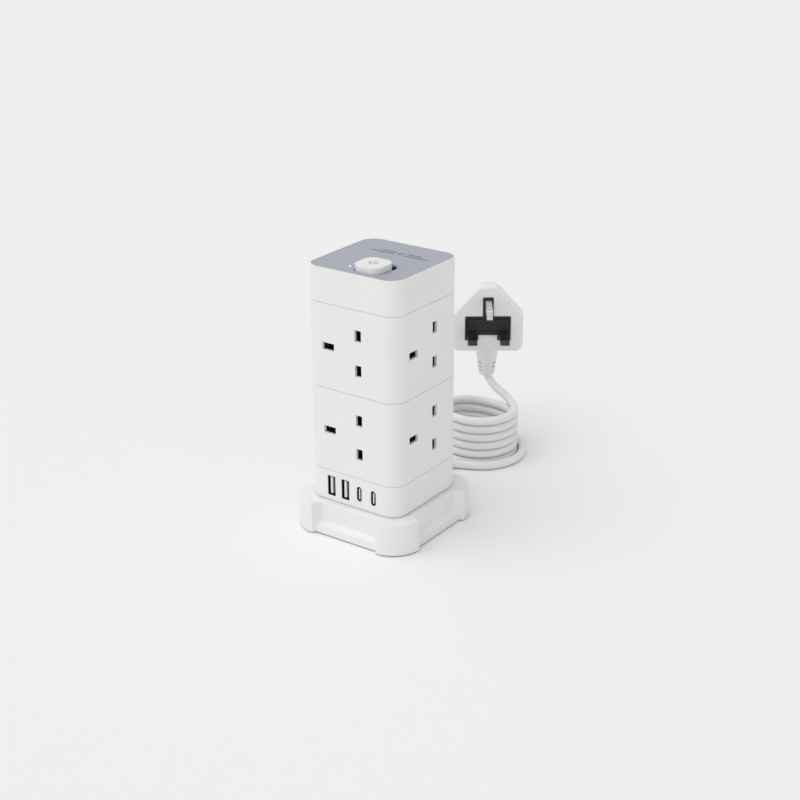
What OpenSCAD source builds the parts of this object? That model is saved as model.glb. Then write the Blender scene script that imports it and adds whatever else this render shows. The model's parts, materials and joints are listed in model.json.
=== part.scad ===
// Tower power strip: a square tower of mains outlets on a lobed base, with a
// power button on top, a row of USB ports, and a coiled lead with its plug.
// Millimetres. The origin is on the floor under the tower's axis, +Z is up,
// the USB ports face -Y and the coiled lead lies behind the tower, at +Y.

/* [Tower] */
// Width and depth of the square tower
body_w = 68; // [64:0.5:80]
// Radius of the tower's upright corners
body_corner_r = 10.5; // [8:0.5:12]
// Wall thickness of every tower shell
wall = 2; // [1.6:0.1:2.4]
// Height of one outlet tier
tier_h = 54.5; // [52:0.5:62]
// Height of the USB tier
usb_tier_h = 20; // [18:0.5:26]
// Height of the top cap
cap_h = 22; // [20:0.5:28]
// Width of the shadow line between two tiers
seam_gap = 0.2; // [0.2:0.05:0.5]

/* [Base] */
// Width and depth of the base across its corner lobes
base_w = 88; // [86:0.5:100]
// Radius of a corner lobe
lobe_r = 20; // [17:0.5:22]
// Height of the base's top face above the floor
base_h = 21; // [19:0.5:25]
// Height of the plinth that lifts the tower off the base
plinth_h = 1; // [0.5:0.1:2]
// Depth of the recess in each side of the base
recess_d = 6; // [4:0.5:6]
// Width of the recess at the base's outer face
recess_w = 49; // [44:0.5:50]
// Height of the ledge's outer face above the floor
ledge_face_h = 5.5; // [4.5:0.5:7]
// How far the ledge stays behind the lobes
ledge_set = 2.5; // [1.5:0.5:3]
// How far the rubber feet stand out under the base
foot_proud = 0.8; // [0.5:0.1:1.5]
// Diameter of a rubber foot
foot_d = 14; // [10:0.5:15]

/* [Outlets] */
// Distance between the live and neutral slots
pin_spacing = 22.2; // [22.2:0.1:22.3]
// Distance of the earth slot from the line of the other two
earth_spacing = 22.2; // [22.2:0.1:22.3]
// Distance of the earth slot from the face's middle
earth_offset = 16.2; // [15.8:0.1:16.5]
// Width of the earth slot, along the way to the other two
earth_slot_w = 8.6; // [8.4:0.1:8.9]
// Length of a live or neutral slot
line_slot_w = 7.2; // [7:0.1:7.4]
// Narrow side of every slot
slot_t = 4.6; // [4.4:0.1:4.8]
// Travel of a shutter
shutter_travel = 5.6; // [5.3:0.1:5.8]
// Thickness of a shutter
shutter_t = 1.6; // [1.2:0.1:1.8]
// Thickness of the busbar strip
strip_t = 0.8; // [0.6:0.1:1]

/* [USB ports] */
// Spacing of the four ports
usb_pitch = 10.7; // [10.2:0.1:11.5]
// Outer height of a USB-A shell, standing on end
usb_a_h = 13; // [12.8:0.1:13.2]
// Outer width of a USB-A shell
usb_a_w = 5.6; // [5.4:0.1:5.8]
// Outer height of a USB-C shell, standing on end
usb_c_h = 9.6; // [9.2:0.1:9.8]
// Outer width of a USB-C shell
usb_c_w = 3.4; // [3.2:0.1:3.6]
// Depth of a USB-A shell
usb_a_depth = 13.6; // [12.5:0.1:14.5]

/* [Power button] */
// Width of the square button
button_w = 19; // [17:0.5:20]
// Corner radius of the button
button_r = 6; // [5:0.25:6.5]
// How far the button stands out of the top panel
button_proud = 3.5; // [3:0.25:5]
// Travel of the button
button_travel = 3; // [2:0.25:3.25]
// Distance between the button and the tower's right face
button_side_gap = 18; // [16:0.25:19.5]
// Distance between the button and the tower's front face
button_front_gap = 6.5; // [6:0.25:7.5]
// Thickness of the grey top panel
panel_t = 1.2; // [0.8:0.1:1.5]
// Depth of the top panel's face below the cap's rim
panel_set = 0.4; // [0:0.1:0.6]

/* [Lead and plug] */
// Diameter of the mains lead
cord_d = 5.6; // [5.5:0.1:5.8]
// Radius of the coil at the middle of the lead
coil_r = 24; // [24:0.25:26]
// Number of stacked turns
coil_turns = 6; // [4:1:6]
// Free space between two turns
turn_gap = 0.42; // [0.42:0.01:0.6]
// Length of the tapered strain relief at the base
gland_len = 20; // [18:0.5:22]
// Length of the tapered strain relief at the plug
relief_len = 20; // [18:0.5:30]
// Width of the plug body
plug_w = 49; // [48:0.5:50]
// Height of the plug body above its live and neutral pins
plug_top = 35.5; // [35.5:0.25:37]
// Depth of the plug body below its live and neutral pins
plug_drop = 12; // [11.5:0.25:13]
// Thickness of the plug body from front to back
plug_t = 20; // [18:0.5:24]

/* [Hidden] */
$fn = 48;

// Overrun of every cut, and the clearances that several pieces share
cut = 1;
fit_gap = 0.3;
slide_gap = 0.3;
hole_gap = 0.2;

// Heights of the tiers above the floor
tower_z = base_h + plinth_h;
usb_top_z = tower_z + usb_tier_h;
lower_mid_z = usb_top_z + tier_h / 2;
middle_z = usb_top_z + tier_h;
upper_mid_z = middle_z + tier_h / 2;
cap_z = middle_z + tier_h;
top_z = cap_z + cap_h;

// Tower shells: half width, inner half width, and the lap joint between tiers
half = body_w / 2;
inner = half - wall;
lap_h = 1.8;
lap_t = wall / 2;
rim_t = 0.8;
cap_wall = 2;

// Corner posts inside the tower, and the long screws that go through them
post_r = 4.5;
post_in = 7.5;
post_at = half - post_in;
tie_r = 1.5;
tie_head_r = 2.8;
tie_head_h = 2;
tie_end = 4;

// Base shell
base_bottom = foot_proud;
base_half = base_w / 2;
base_wall = 2.2;
base_top_wall = 2.4;
panel_half = base_half - recess_d;
recess_flare = recess_d / 2;
ledge_half = base_half - ledge_set;
ledge_slope_h = 3;
ledge_top_h = ledge_face_h + ledge_slope_h;
plinth_inset = 1;
wire_hole_r = 17;
plate_t = 1.8;
plate_gap = 0.25;
base_post_r = 3.4;
base_post_in = 8;
base_post_x = panel_half - base_post_in;
base_post_y = 10;
foot_in = 15;
foot_at = base_half - foot_in;
foot_pocket = 0.8;

// Small screws of the base plate and of the cord clamp
screw_r = 1.3;
screw_head_r = 2.6;
screw_head_h = 1.1;
screw_len = 9;

// Outlets: places on one face, seen from outside with the earth slot at the left
earth_x = -earth_offset;
line_x = earth_x + earth_spacing;
line_dz = pin_spacing / 2;

// Socket core: distances from the tower's axis, outside first
core_front = inner - slide_gap;
core_plate_t = 2.8;
channel_t = shutter_t + 2 * slide_gap;
channel_out = core_front - core_plate_t;
channel_in = channel_out - channel_t;
core_depth = 13.9;
core_in = core_front - core_depth;
core_half_h = 22;
flange_t = 3;
core_corner_gap = 0.4;
core_corner_in = 1.6;
corner_cut = core_front - half + body_corner_r - core_corner_in;

// Contacts and busbars
leaf_gap = 3.6;
leaf_t = 0.6;
clip_h = 5;
clip_mouth_in = 1.2;
clip_mouth = channel_in - clip_mouth_in;
line_ring_gap = 0.6;
line_ring = core_in - line_ring_gap;
earth_ring_gap = 5.8;
earth_ring = core_in - earth_ring_gap;
earth_leaf_past = 1.3;
earth_leaf_out = earth_offset + earth_leaf_past;
earth_leaf_before = 3;
earth_leaf_in = earth_offset - earth_leaf_before;
strip_h = 5;
riser_w = 6;
riser_shift = 3;
riser_x = riser_shift - earth_ring;
riser_in = 3;
riser_out_top = 2;
pocket_gap = 0.2;
riser_short = 4;
riser_end_z = usb_top_z - riser_short;

// Shutters: a bar over both slots and a ramp in the earth pin's way
shutter_side = 0.8;
shutter_w = slot_t + 2 * shutter_side;
shutter_over = 1;
ramp_h = 3.4;
ramp_reach = 1.4;
shutter_spring_t = 0.35;
shutter_spring_w = 1.2;
shutter_spring_amp = 2;
shutter_spring_len = 10.4;
shutter_spring_folds = 6;
spring_stop_x = line_x + shutter_w / 2 + shutter_spring_len;
stop_w = 2.5;
stop_h = 7;

// Terminal block, wires and boards
terminal_over = 1.5;
terminal_w = 2 * core_in;
terminal_d = 2 * (earth_ring + terminal_over);
terminal_h = 7;
terminal_y = 2;
terminal_floor = 1.5;
terminal_arm = 10;
wire_r = 1.2;
wire_gap = 6;
wire_fan = 2;
board_t = 1.6;
usb_drop = 0.5;
usb_mid_z = tower_z + usb_tier_h / 2 - usb_drop;
usb_set = 0.3;
usb_board_y = -half + usb_set + usb_a_depth;
usb_board_in = 7;
usb_board_w = 2 * (inner - usb_board_in);
usb_board_h = 15;
board_rib_d = 4;
usb_wall_t = 0.4;
usb_c_depth = usb_a_depth;
tongue_set = 1.2;
tongue_t = 1.8;
tongue_shift = 0.7;
c_tongue_t = 0.8;
transformer_w = 18;
transformer_d = 13;
transformer_h = 9.6;
capacitor_r = 4;
capacitor_len = 12;
capacitor_at = 17;
varistor_r = 6;
varistor_t = 4;
varistor_in = 10.5;
varistor_at = post_at - varistor_in;

// Power button, its well in the cap, the switch and the lamp
button_x = half - button_side_gap - button_w / 2;
button_y = half - button_front_gap - button_w / 2;
panel_z = top_z - panel_set - panel_t;
cap_wall_z = panel_z - cap_wall;
well_gap = 0.8;
well_side = 1.6;
well_back = 3.5;
well_wall = 1.2;
well_depth = 9.5;
well_floor_z = top_z - well_depth;
well_floor_t = 1.5;
button_wall = 2;
button_skirt = 3.2;
stem_r = 3;
stem_gap = 0.3;
switch_w = 20;
switch_d = 16;
switch_top_z = well_floor_z - well_floor_t - fit_gap;
spring_wire = 0.8;
spring_r = 5;
spring_curls = 5;
lens_left = 5.2;
lens_front = 12.5;
lens_x = button_x - button_w / 2 - lens_left;
lens_y = lens_front - half;
lens_r = 0.8;
lens_proud = 0.15;
led_r = 1.6;
led_h = 5.5;

// Cord: radius and coil geometry; angles count from +X round the coil's middle
cord_r = cord_d / 2;
turn_pitch = cord_d + turn_gap;
loop_gap = 0.6;
loop_r = coil_r + cord_d + loop_gap;
loop_start = -67;
move_start = 210;
move_in = 80;
step_start = 80;
step_in = 120;
full_turn = 360;
last_turn_end = 45;
coil_end = last_turn_end + full_turn * coil_turns;
loop_rings = 24;
coil_sides = 6;
cord_sides = 10;
wire_sides = 8;
gland_x = -16;
gland_z = 9;
gland_root_r = 4.9;
gland_tip_r = 3.8;
gland_neck_r = 4.4;
gland_flange_r = 5.8;
gland_flange_t = 2;
gland_slots = 4;
gland_slot_w = 1.2;
gland_slot_deep = 1.4;
clamp_in = 6.5;
clamp_y = post_at - clamp_in;
clamp_w = 20;
clamp_d = 6;
clamp_t = 2.1;
clamp_screw_at = 6.6;
cord_in_len = panel_half - base_wall - gland_flange_t - clamp_y + clamp_d / 2 + cut;

// Route of the lead from the gland's tip down to the floor, as steps right, back and up
lead_route = [
    [0, 0, 0], [0, 4, 0], [0, 8, -0.1], [0.3, 11.9, -0.4], [1.1, 15.8, -1.1], [2.5, 19.5, -2.1],
    [4.5, 22.9, -3.4], [6.9, 26, -4.6], [9.7, 28.8, -5.5], [12.9, 31, -6], [16.4, 32.8, -6.2]
];
// Route of the tail from the coil's end up into the plug's relief, as steps right, back and up
tail_route = [
    [0, 0, 0], [-3.6, 3.1, 0.2], [-7.7, 5.6, 0.8], [-12, 7.5, 1.8], [-16.5, 8.6, 3.2],
    [-20.8, 9.5, 5.2], [-24.6, 10.4, 8], [-27.7, 11, 11.6], [-30, 11.5, 14.9]
];
// Middle of the relief's lower end, measured the same way
relief_foot = [-28.1, 11.1, 12.2];

// Plug
plug_turn = 35;
plug_bottom_r = 5;
plug_shoulder_r = 4;
plug_crown_r = 7;
plug_shoulder_z = 13.4;
plug_crown_at = 3;
plug_rim_t = 9;
plug_back_in = 4;
plug_edge = 1;
insert_proud = 0.6;
insert_deep = 3;
insert_w = 31.4;
insert_top = 13.7;
insert_bottom = -3.6;
insert_tab_w = 7;
insert_tab_top = 27.4;
line_pin_w = 6.35;
earth_pin_h = 8;
pin_t = 4;
line_pin_len = 17.7;
earth_pin_len = 22.7;
pin_tip = 1.6;
pin_tip_in = 1;
pin_root = 8;
sleeve_len = 9.5;
sleeve_in = 0.5;
insert_middle_z = 0.3;
insert_leg_x = 6.8;
carrier_w = 28.4;
carrier_top = 11.8;
carrier_bottom = 3.4;
carrier_deep = 12;
carrier_proud = 0.9;
fuse_r = 3.15;
fuse_len = 25.4;
relief_y = 9.5;
relief_top_r = 8.2;
relief_tip_r = 5.4;
relief_slots = 3;
relief_first = 3.5;
relief_pitch = 3;
relief_slot_w = 1.3;
relief_core_r = 3.5;

// Colours
white = [0.92, 0.92, 0.92];
panel_grey = [0.66, 0.67, 0.72];
black = [0.09, 0.09, 0.1];
brass = [0.8, 0.66, 0.36];
steel = [0.75, 0.75, 0.77];
board_green = [0.1, 0.4, 0.25];

// Square with true round corners, centred
module rounded_square(w, r) {
    square([w - 2 * r, w], center = true);
    square([w, w - 2 * r], center = true);
    for (sx = [-1, 1], sy = [-1, 1])
        translate([sx * (w / 2 - r), sy * (w / 2 - r)])
            circle(r = r);
}

// Rounded square prism from z0 to z1
module tower_block(w, r, z0, z1) {
    translate([0, 0, z0])
        linear_extrude(z1 - z0)
            rounded_square(w, r);
}

// Children at the four corners, at x and y distances d
module at_corners(d) {
    for (sx = [-1, 1], sy = [-1, 1])
        translate([sx * d, sy * d, 0])
            children();
}

// Children drawn for the front face, turned to face number k
module on_face(k) {
    rotate([0, 0, 90 * k])
        children();
}

// Box from one corner to the other
module span(a, b) {
    translate(a)
        cube([b[0] - a[0], b[1] - a[1], b[2] - a[2]]);
}

// Upright stadium hole or block that runs back along +Y from y0 to y1
module stadium(w, h, y0, y1) {
    r = w / 2;
    translate([0, y1, 0])
        rotate([90, 0, 0])
            linear_extrude(y1 - y0) {
                square([w, h - w], center = true);
                for (s = [-1, 1])
                    translate([0, s * (h / 2 - r)])
                        circle(r = r);
            }
}

// Swept tubes

function unit(v) = v / norm(v);
function heading(p, i, first, last) =
    i == 0 ? first :
    i == len(p) - 1 ? last :
    unit(unit(p[i + 1] - p[i]) + unit(p[i] - p[i - 1]));
function ring(c, t, up, r, sides) =
    let (a = unit(cross(up, t)), b = cross(t, a))
    [for (k = [0 : sides - 1]) c + r * (cos(360 * k / sides) * a + sin(360 * k / sides) * b)];

// One closed tube round the points p, with square ends that face first and last
module tube(p, r, sides, up, first, last) {
    n = len(p);
    rings = [for (i = [0 : n - 1]) each ring(p[i], heading(p, i, first, last), up, r, sides)];
    walls = [
        for (i = [0 : n - 2], k = [0 : sides - 1])
            let (a = i * sides + k, b = i * sides + (k + 1) % sides)
            each [[a, a + sides, b], [b, a + sides, b + sides]]
    ];
    first_cap = [for (k = [1 : sides - 2]) [0, k, k + 1]];
    m = (n - 1) * sides;
    last_cap = [for (k = [1 : sides - 2]) [m, m + k + 1, m + k]];
    polyhedron(points = rings, faces = concat(walls, first_cap, last_cap), convexity = 10);
}

// Base

// Outline of the base with its four recesses, drawn in by a wall thickness
module base_outline(inset) {
    difference() {
        rounded_square(base_w - 2 * inset, lobe_r - inset);
        for (k = [0 : 3])
            rotate(90 * k)
                polygon([
                    [-recess_w / 2 + recess_flare - inset, panel_half - inset],
                    [-recess_w / 2 - inset, base_half],
                    [-recess_w / 2 - inset, base_half + cut],
                    [recess_w / 2 + inset, base_half + cut],
                    [recess_w / 2 + inset, base_half],
                    [recess_w / 2 - recess_flare + inset, panel_half - inset]
                ]);
    }
}

// Ledge along the bottom of each side, with a sloping top
module ledges() {
    for (k = [0 : 3])
        on_face(k)
            translate([-recess_w / 2, 0, 0])
                rotate([90, 0, 90])
                    linear_extrude(recess_w)
                        polygon([
                            [-panel_half + base_wall, base_bottom],
                            [-ledge_half, base_bottom],
                            [-ledge_half, ledge_face_h],
                            [-panel_half, ledge_top_h],
                            [-panel_half + base_wall, ledge_top_h]
                        ]);
}

module base_shell() {
    color(white)
        difference() {
            union() {
                translate([0, 0, base_bottom])
                    linear_extrude(base_h - base_bottom)
                        base_outline(0);
                ledges();
                tower_block(
                    body_w - 2 * plinth_inset, body_corner_r - plinth_inset,
                    base_h - base_top_wall, tower_z
                );
            }
            difference() {
                translate([0, 0, base_bottom - cut])
                    linear_extrude(base_h - base_top_wall - base_bottom + cut)
                        base_outline(base_wall);
                plate_screw_places()
                    translate([0, 0, base_bottom + plate_t])
                        cylinder(r = base_post_r, h = base_h);
                clamp_saddle();
            }
            translate([0, 0, base_h - base_top_wall - cut])
                cylinder(r = wire_hole_r, h = base_top_wall + plinth_h + 2 * cut);
            plate_screw_places()
                translate([0, 0, base_bottom])
                    cylinder(r = screw_r + hole_gap / 2, h = plate_t + screw_len);
            clamp_screw_places()
                translate([0, 0, base_bottom])
                    cylinder(r = screw_r + hole_gap / 2, h = gland_z + screw_len / 2);
            at_corners(post_at)
                translate([0, 0, base_h - base_top_wall - cut])
                    cylinder(r = tie_r + hole_gap, h = base_top_wall + plinth_h + 2 * cut);
            gland_hole();
        }
}

// Round way for the gland's neck, open to the ledge below it
module gland_hole() {
    translate([gland_x, 0, gland_z]) {
        rotate([-90, 0, 0])
            translate([0, 0, panel_half - base_wall - cut])
                cylinder(r = gland_neck_r + hole_gap, h = base_wall + 2 * cut);
        rotate([-90, 0, 0])
            translate([0, 0, panel_half])
                cylinder(r = gland_root_r + fit_gap, h = recess_d + cut);
        span(
            [-gland_root_r - fit_gap, panel_half, -gland_z + base_bottom - cut],
            [gland_root_r + fit_gap, base_half + cut, 0]
        );
    }
}

module plate_screw_places() {
    for (sx = [-1, 1], sy = [-1, 1])
        translate([sx * base_post_x, sy * base_post_y, 0])
            children();
}

module clamp_screw_places() {
    for (s = [-1, 1])
        translate([gland_x + s * clamp_screw_at, clamp_y, 0])
            children();
}

// Block over the lead with a post at each side, hung from the base's top wall
module clamp_saddle() {
    clamp_screw_places()
        translate([0, 0, gland_z - cord_r + fit_gap])
            cylinder(r = base_post_r, h = base_h);
    span(
        [gland_x - clamp_screw_at, clamp_y - clamp_d / 2, gland_z + cord_r],
        [gland_x + clamp_screw_at, clamp_y + clamp_d / 2, base_h]
    );
}

module base_plate() {
    color(white)
        difference() {
            translate([0, 0, base_bottom])
                linear_extrude(plate_t)
                    base_outline(base_wall + plate_gap);
            plate_screw_places() {
                translate([0, 0, base_bottom - cut])
                    cylinder(r = screw_r + hole_gap, h = plate_t + 2 * cut);
                translate([0, 0, base_bottom - cut])
                    cylinder(r = screw_head_r + hole_gap, h = cut + foot_pocket);
            }
            at_corners(foot_at)
                translate([0, 0, base_bottom - cut])
                    cylinder(r = foot_d / 2 + hole_gap, h = cut + foot_pocket);
        }
}

module rubber_feet() {
    color(black)
        at_corners(foot_at)
            cylinder(r = foot_d / 2, h = foot_proud + foot_pocket);
}

// A low head at z0 with its shank going up
module small_screw(z0, head_h) {
    translate([0, 0, z0]) {
        cylinder(r = screw_head_r, h = head_h);
        cylinder(r = screw_r, h = screw_len);
    }
}

module small_screws() {
    color(steel) {
        plate_screw_places()
            small_screw(base_bottom, foot_pocket);
        clamp_screw_places()
            small_screw(gland_z - cord_r - clamp_t - screw_head_h, screw_head_h);
    }
}

// Bar that presses the lead up against the saddle
module cord_clamp() {
    color(white)
        difference() {
            span(
                [gland_x - clamp_w / 2, clamp_y - clamp_d / 2, gland_z - cord_r - clamp_t],
                [gland_x + clamp_w / 2, clamp_y + clamp_d / 2, gland_z - cord_r]
            );
            clamp_screw_places()
                cylinder(r = screw_r + hole_gap, h = base_h);
        }
}

// Tower shells

// Shell of one tier, with the lap joint at its top and the rebate for the one below
module tier_shell(z0, z1, posts_z0, posts_z1) {
    low = z0 + seam_gap / 2;
    high = z1 - seam_gap / 2;
    difference() {
        union() {
            difference() {
                tower_block(body_w, body_corner_r, low, high);
                tower_block(2 * inner, body_corner_r - wall, low - cut, high + cut);
            }
            difference() {
                tower_block(2 * (inner + lap_t), body_corner_r - lap_t, high - lap_h, high + lap_h);
                tower_block(2 * inner, body_corner_r - wall, high - lap_h - cut, high + lap_h + cut);
            }
            difference() {
                at_corners(post_at)
                    translate([0, 0, posts_z0])
                        cylinder(r = post_r, h = posts_z1 - posts_z0);
                outside_corners(posts_z0, posts_z1);
            }
        }
        tower_block(
            2 * (inner + lap_t + slide_gap / 2), body_corner_r - lap_t,
            low - cut, low + lap_h + seam_gap
        );
        at_corners(post_at)
            translate([0, 0, posts_z0 - cut])
                cylinder(r = tie_r + hole_gap, h = posts_z1 - posts_z0 + 2 * cut);
    }
}

// Everything that lies outside the middle of a shell's wall
module outside_corners(z0, z1) {
    difference() {
        translate([0, 0, (z0 + z1) / 2])
            cube([2 * body_w, 2 * body_w, z1 - z0 + 2 * cut], center = true);
        tower_block(2 * (inner + lap_t), body_corner_r - lap_t, z0 - 2 * cut, z1 + 2 * cut);
    }
}

function usb_place(i) = (i - 1.5) * usb_pitch;

// Two ribs on the side walls with a groove for each end of the USB board
module board_ribs() {
    for (side = [0, 1])
        mirror([side, 0, 0])
            difference() {
                span(
                    [usb_board_w / 2 - board_rib_d / 2, usb_board_y - board_rib_d / 2, tower_z],
                    [inner + lap_t / 2, usb_board_y + board_t + board_rib_d / 2, usb_top_z - lap_h]
                );
                span(
                    [0, usb_board_y - hole_gap / 2, tower_z - cut],
                    [usb_board_w / 2 + hole_gap, usb_board_y + board_t + hole_gap / 2, usb_top_z]
                );
            }
}

module usb_tier_shell() {
    color(white)
        difference() {
            union() {
                tier_shell(tower_z, usb_top_z, tower_z, usb_top_z);
                board_ribs();
            }
            for (i = [0, 1])
                translate([usb_place(i), 0, usb_mid_z])
                    span(
                        [-(usb_a_w + slide_gap) / 2, -half - cut, -(usb_a_h + slide_gap) / 2],
                        [(usb_a_w + slide_gap) / 2, -inner + cut, (usb_a_h + slide_gap) / 2]
                    );
            for (i = [2, 3])
                translate([usb_place(i), 0, usb_mid_z])
                    stadium(usb_c_w + slide_gap, usb_c_h + slide_gap, -half - cut, -inner + cut);
        }
}

// The three slots of one outlet, cut from y0 to y1 in the front face
module outlet_slots(z, y0, y1) {
    span(
        [earth_x - earth_slot_w / 2, y0, z - slot_t / 2],
        [earth_x + earth_slot_w / 2, y1, z + slot_t / 2]
    );
    for (s = [-1, 1])
        span(
            [line_x - slot_t / 2, y0, z + s * line_dz - line_slot_w / 2],
            [line_x + slot_t / 2, y1, z + s * line_dz + line_slot_w / 2]
        );
}

module outlet_shell(z0, z1) {
    color(white)
        difference() {
            tier_shell(z0, z1, z0, z1);
            for (k = [0 : 3])
                on_face(k)
                    outlet_slots((z0 + z1) / 2, -half - cut, -inner + cut);
        }
}

module lower_outlet_shell() { outlet_shell(usb_top_z, middle_z); }
module upper_outlet_shell() { outlet_shell(middle_z, cap_z); }

// Hole in the cap's top wall and in the panel for the button and its gap
module well_hole(grow, z0, z1) {
    x0 = button_x - button_w / 2 - well_gap - grow;
    x1 = button_x + button_w / 2 + well_side + grow;
    y0 = -button_y - button_w / 2 - well_gap - grow;
    y1 = -button_y + button_w / 2 + well_back + grow;
    r = button_r + well_gap + grow;
    translate([0, 0, z0])
        linear_extrude(z1 - z0) {
            translate([x0 + r, y0])
                square([x1 - x0 - 2 * r, y1 - y0]);
            translate([x0, y0 + r])
                square([x1 - x0, y1 - y0 - 2 * r]);
            for (x = [x0 + r, x1 - r], y = [y0 + r, y1 - r])
                translate([x, y])
                    circle(r = r);
        }
}

module top_cap_shell() {
    color(white)
        difference() {
            union() {
                difference() {
                    tower_block(body_w, body_corner_r, cap_z + seam_gap / 2, top_z);
                    tower_block(2 * inner, body_corner_r - wall, cap_z - cut, cap_wall_z);
                    tower_block(
                        2 * (half - rim_t), body_corner_r - rim_t,
                        panel_z, top_z + cut
                    );
                }
                difference() {
                    at_corners(post_at)
                        translate([0, 0, cap_z + board_t])
                            cylinder(r = post_r, h = cap_wall_z - cap_z - board_t);
                    outside_corners(cap_z, cap_wall_z);
                }
                well_hole(well_wall, well_floor_z - well_floor_t, panel_z - cap_wall / 2);
            }
            tower_block(
                2 * (inner + lap_t + slide_gap / 2), body_corner_r - lap_t,
                cap_z - cut, cap_z + seam_gap / 2 + lap_h + seam_gap
            );
            well_hole(0, well_floor_z, top_z + cut);
            translate([button_x, -button_y, well_floor_z - well_floor_t - cut])
                cylinder(r = stem_r + stem_gap, h = well_floor_t + 2 * cut);
            at_corners(post_at)
                translate([0, 0, cap_z])
                    cylinder(r = tie_r + hole_gap / 2, h = cap_wall_z - cap_z - tie_end + fit_gap);
            translate([lens_x, lens_y, cap_wall_z - cut])
                cylinder(r = lens_r + hole_gap, h = cap_wall + 2 * cut);
        }
}

module top_panel() {
    color(panel_grey)
        difference() {
            tower_block(
                2 * (half - rim_t - slide_gap / 2), body_corner_r - rim_t - slide_gap / 2,
                panel_z, panel_z + panel_t
            );
            well_hole(0, panel_z - cut, top_z + cut);
            translate([lens_x, lens_y, panel_z - cut])
                cylinder(r = lens_r + hole_gap / 2, h = panel_t + 2 * cut);
        }
}

// Long screws from the base up through all tiers into the cap
module tie_screws() {
    z0 = base_h - base_top_wall - tie_head_h;
    z1 = cap_wall_z - tie_end;
    color(steel)
        at_corners(post_at)
            translate([0, 0, z0]) {
                cylinder(r = tie_head_r, h = tie_head_h);
                cylinder(r = tie_r, h = z1 - z0);
            }
}

// Power button, switch, lamp and top board

module button_block(w, r, z0, z1) {
    translate([button_x, -button_y, 0])
        tower_block(w, r, z0, z1);
}

module power_button() {
    z1 = top_z + button_proud;
    z0 = well_floor_z + button_travel + fit_gap;
    under = z1 - button_wall;
    color(white) {
        difference() {
            button_block(button_w, button_r, z0, z1);
            button_block(button_w - 2 * button_wall, button_r - button_wall, z0 - cut, under);
        }
        translate([button_x, -button_y, switch_top_z - button_skirt])
            cylinder(r = stem_r, h = under - switch_top_z + button_skirt + cut);
    }
}

// Return spring between the well's floor and the button
module button_spring() {
    z0 = well_floor_z + spring_wire / 2 + hole_gap / 2;
    z1 = top_z + button_proud - button_wall - spring_wire / 2 - fit_gap;
    steps = 8 * spring_curls;
    points = [
        for (i = [0 : steps])
            let (a = 360 * spring_curls * i / steps)
            [button_x + spring_r * cos(a), -button_y + spring_r * sin(a), z0 + (z1 - z0) * i / steps]
    ];
    color(steel)
        tube(points, spring_wire / 2, coil_sides, [0, 0, 1], [0, 1, 0], [0, 1, 0]);
}

module switch_body() {
    z0 = cap_z + board_t;
    color(black)
        difference() {
            span(
                [button_x - switch_w / 2, -button_y - switch_d / 2, z0],
                [button_x + switch_w / 2, -button_y + switch_d / 2, switch_top_z]
            );
            translate([button_x, -button_y, switch_top_z - button_skirt - button_travel - fit_gap])
                cylinder(r = stem_r + stem_gap, h = button_skirt + button_travel + fit_gap + cut);
        }
}

module indicator_led() {
    color(white)
        translate([lens_x, lens_y, cap_z + board_t])
            cylinder(r = led_r, h = led_h);
}

// Light pipe from the lamp up to the panel's face
module indicator_lens() {
    color([0.95, 0.97, 1])
        translate([lens_x, lens_y, cap_z + board_t + led_h])
            cylinder(r = lens_r, h = panel_z + panel_t + lens_proud - cap_z - board_t - led_h);
}

module top_board() {
    color(board_green)
        difference() {
            translate([0, 0, cap_z])
                linear_extrude(board_t)
                    square(2 * (post_at + post_r / 2), center = true);
            at_corners(post_at)
                translate([0, 0, cap_z - cut])
                    cylinder(r = tie_r + hole_gap, h = board_t + 2 * cut);
            for (k = [1, 3])
                riser_slot(k, cap_z - cut, board_t + 2 * cut);
        }
}

// Way for the riser of a busbar through a board or block, h high from z0
module riser_slot(k, z0, h) {
    on_face(k)
        span(
            [riser_x - pocket_gap, -line_ring + riser_in - pocket_gap, z0],
            [riser_x + riser_w + pocket_gap, -line_ring + riser_in + strip_t + pocket_gap, z0 + h]
        );
}

module surge_varistors() {
    color([0.15, 0.3, 0.6])
        for (s = [-1, 0, 1])
            translate([s * varistor_at, varistor_at + varistor_t, cap_z + board_t + varistor_r])
                rotate([90, 0, 0])
                    cylinder(r = varistor_r, h = varistor_t);
}

// Socket core and contacts

// Square frame with its bottom at z0
module square_frame(out, in, z0, h) {
    translate([0, 0, z0])
        linear_extrude(h)
            difference() {
                square(2 * out, center = true);
                square(2 * in, center = true);
            }
}

module socket_core(z) {
    z0 = z - core_half_h;
    color(black)
        difference() {
            union() {
                square_frame(core_front, channel_out, z0, 2 * core_half_h);
                square_frame(channel_in, core_in, z0, 2 * core_half_h);
                square_frame(core_front, core_in, z0, flange_t);
                square_frame(core_front, core_in, z + core_half_h - flange_t, flange_t);
                for (k = [0 : 3])
                    on_face(k)
                        span(
                            [spring_stop_x, -channel_out - cut, z - stop_h / 2],
                            [spring_stop_x + stop_w, -channel_in + cut, z + stop_h / 2]
                        );
            }
            at_corners(post_at)
                translate([0, 0, z0 - cut])
                    cylinder(r = post_r + core_corner_gap, h = 2 * core_half_h + 2 * cut);
            at_corners(core_front)
                translate([0, 0, z])
                    cube([2 * corner_cut, 2 * corner_cut, 2 * core_half_h + 2 * cut], center = true);
            for (k = [0 : 3])
                on_face(k) {
                    outlet_slots(z, -core_front - cut, -channel_out + cut);
                    pin_pockets(z);
                }
        }
}

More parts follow.
